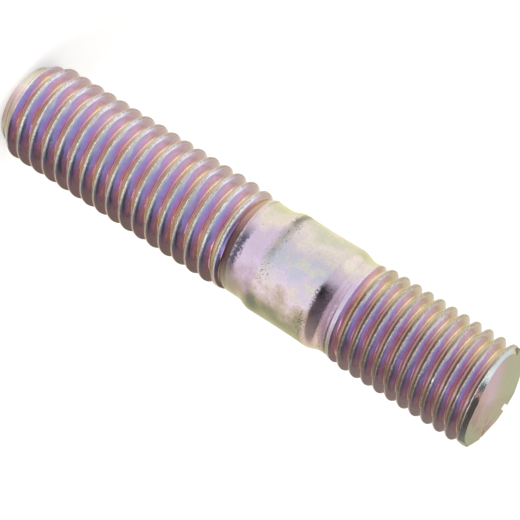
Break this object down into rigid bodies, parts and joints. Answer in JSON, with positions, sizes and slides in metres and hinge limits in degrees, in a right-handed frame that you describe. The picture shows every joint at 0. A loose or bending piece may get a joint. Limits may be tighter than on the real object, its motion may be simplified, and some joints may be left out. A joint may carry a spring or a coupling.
{
  "type": "double-ended sprocket stud",
  "caption": "Zinc-plated steel stud with a long coarse thread, a plain collar between waisted necks and a short finer thread, for fixing a chain sprocket to its hub.",
  "frame": {"origin": "centre of the flat at the end of the long thread, on the surface the stud stands on", "axes": "+Z along the stud's axis, from the long coarse thread to the short finer thread; +X towards the high side of the cropped end"},
  "size_m": [0.0098, 0.0098, 0.052],
  "materials": {
    "yellow_zinc": "bright zinc plate under an iridescent yellow chromate film"
  },
  "bodies": {
    "root": {"stud": "yellow_zinc"}
  },
  "joints": []
}
